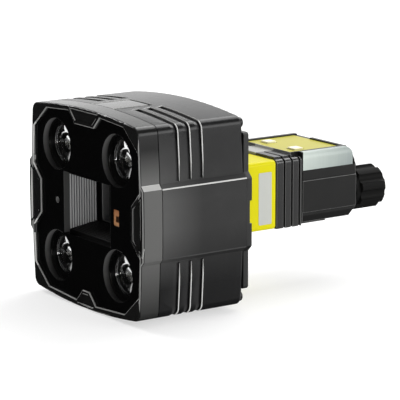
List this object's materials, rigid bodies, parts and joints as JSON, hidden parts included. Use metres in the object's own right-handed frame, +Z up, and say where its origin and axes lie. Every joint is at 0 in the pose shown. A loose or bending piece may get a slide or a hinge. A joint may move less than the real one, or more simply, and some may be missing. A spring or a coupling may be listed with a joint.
{
  "type": "machine vision camera with light head",
  "caption": "Fixed-mount machine vision camera: square light head with collimated lenses round a stepped hood, yellow cover, finned heat sink, rear housing with keys and capped connectors.",
  "frame": {"origin": "centre of the four tapped holes, on the underside of the heat sink", "axes": "+Z up out of the mounting surface, -Y towards the light head's front, +X to the right seen from behind"},
  "size_m": [0.1144, 0.188, 0.11],
  "materials": {
    "aimer_lens": "clear",
    "aimer_module": "plain",
    "cap_left": "satin black",
    "cap_right": "satin black",
    "cap_seal_left": "matt",
    "cap_seal_right": "matt",
    "collimator_bottom_left": "clear moulded",
    "collimator_bottom_right": "clear moulded",
    "collimator_top_left": "clear moulded",
    "collimator_top_right": "clear moulded",
    "connector_insert_left": "plain",
    "connector_insert_right": "plain",
    "connector_left": "nickel plated",
    "connector_right": "nickel plated",
    "contacts_left": "gold plated",
    "contacts_right": "gold plated",
    "cover_gasket": "matt",
    "driver_board": "solder resist",
    "emitters": "phosphor",
    "front_cover": "lemon yellow, smooth",
    "front_frame": "satin black, fine texture",
    "front_panel": "gloss black",
    "head_housing": "satin black, fine texture",
    "heat_sink": "black anodised",
    "heat_spreader": "bare",
    "housing_gasket": "matt",
    "image_sensor": "smooth",
    "indicator_lamps": "smooth",
    "indicator_left": "frosted",
    "indicator_right": "frosted",
    "key_board": "solder resist",
    "lens_barrel": "black anodised",
    "lens_holder_bottom_left": "matt black",
    "lens_holder_bottom_right": "matt black",
    "lens_holder_top_left": "matt black",
    "lens_holder_top_right": "matt black",
    "light_board": "solder resist",
    "light_hood": "matt dark grey",
    "nose_bezel": "satin black",
    "nose_tube": "black anodised",
    "nose_window": "clear",
    "objective_glass": "coated",
    "processor_board": "solder resist",
    "range_sensor": "plain",
    "range_window": "amber",
    "rear_housing": "black, fine texture",
    "rear_housing_screws": "plain",
    "rear_plate": "black paint",
    "rear_plate_screws": "blackened",
    "sensor_board": "solder resist",
    "standoffs": "plain",
    "top_label": "printed film",
    "trigger_button": "white",
    "tune_button": "white"
  },
  "bodies": {
    "reader": {"aimer_lens": "aimer_lens", "aimer_module": "aimer_module", "collimator_bottom_left": "collimator_bottom_left", "collimator_bottom_right": "collimator_bottom_right", "collimator_top_left": "collimator_top_left", "collimator_top_right": "collimator_top_right", "connector_insert_left": "connector_insert_left", "connector_insert_right": "connector_insert_right", "connector_left": "connector_left", "connector_right": "connector_right", "contacts_left": "contacts_left", "contacts_right": "contacts_right", "cover_gasket": "cover_gasket", "driver_board": "driver_board", "emitters": "emitters", "front_cover": "front_cover", "front_frame": "front_frame", "front_panel": "front_panel", "head_housing": "head_housing", "heat_sink": "heat_sink", "heat_spreader": "heat_spreader", "housing_gasket": "housing_gasket", "image_sensor": "image_sensor", "indicator_lamps": "indicator_lamps", "indicator_left": "indicator_left", "indicator_right": "indicator_right", "key_board": "key_board", "lens_barrel": "lens_barrel", "lens_holder_bottom_left": "lens_holder_bottom_left", "lens_holder_bottom_right": "lens_holder_bottom_right", "lens_holder_top_left": "lens_holder_top_left", "lens_holder_top_right": "lens_holder_top_right", "light_board": "light_board", "light_hood": "light_hood", "nose_bezel": "nose_bezel", "nose_tube": "nose_tube", "nose_window": "nose_window", "objective_glass": "objective_glass", "processor_board": "processor_board", "range_sensor": "range_sensor", "range_window": "range_window", "rear_housing": "rear_housing", "rear_housing_screws": "rear_housing_screws", "rear_plate": "rear_plate", "rear_plate_screws": "rear_plate_screws", "sensor_board": "sensor_board", "standoffs": "standoffs", "top_label": "top_label"},
    "trigger_key": {"trigger_button": "trigger_button"},
    "tune_key": {"tune_button": "tune_button"},
    "left_cap_travel": {"cap_seal_left": "cap_seal_left"},
    "left_cap_turn": {"cap_left": "cap_left"},
    "right_cap_travel": {"cap_seal_right": "cap_seal_right"},
    "right_cap_turn": {"cap_right": "cap_right"}
  },
  "joints": [
    {"name": "trigger_press", "type": "slide", "parent": "reader", "child": "trigger_key", "axis": [0, 0, -1], "range_m": [0, 0.0005], "stiffness_N_per_m": 1500, "springref_m": -0.0005},
    {"name": "tune_press", "type": "slide", "parent": "reader", "child": "tune_key", "axis": [0, 0, -1], "range_m": [0, 0.0005], "stiffness_N_per_m": 1500, "springref_m": -0.0005},
    {"name": "left_cap_travel", "type": "slide", "parent": "reader", "child": "left_cap_travel", "axis": [0, 1, 0], "range_m": [0, 0.007]},
    {"name": "left_cap_screw", "type": "hinge", "parent": "left_cap_travel", "child": "left_cap_turn", "pos_m": [-0.0143, 0.0433, 0.014], "axis": [0, 1, 0], "range_deg": [0, 2520]},
    {"name": "right_cap_travel", "type": "slide", "parent": "reader", "child": "right_cap_travel", "axis": [0, 1, 0], "range_m": [0, 0.007]},
    {"name": "right_cap_screw", "type": "hinge", "parent": "right_cap_travel", "child": "right_cap_turn", "pos_m": [0.0143, 0.0433, 0.014], "axis": [0, 1, 0], "range_deg": [0, 2520]}
  ],
  "couplings": [
    {"joint": "left_cap_travel", "follows": "left_cap_screw", "m_per_rad": 0.00015915},
    {"joint": "right_cap_travel", "follows": "right_cap_screw", "m_per_rad": 0.00015915}
  ]
}
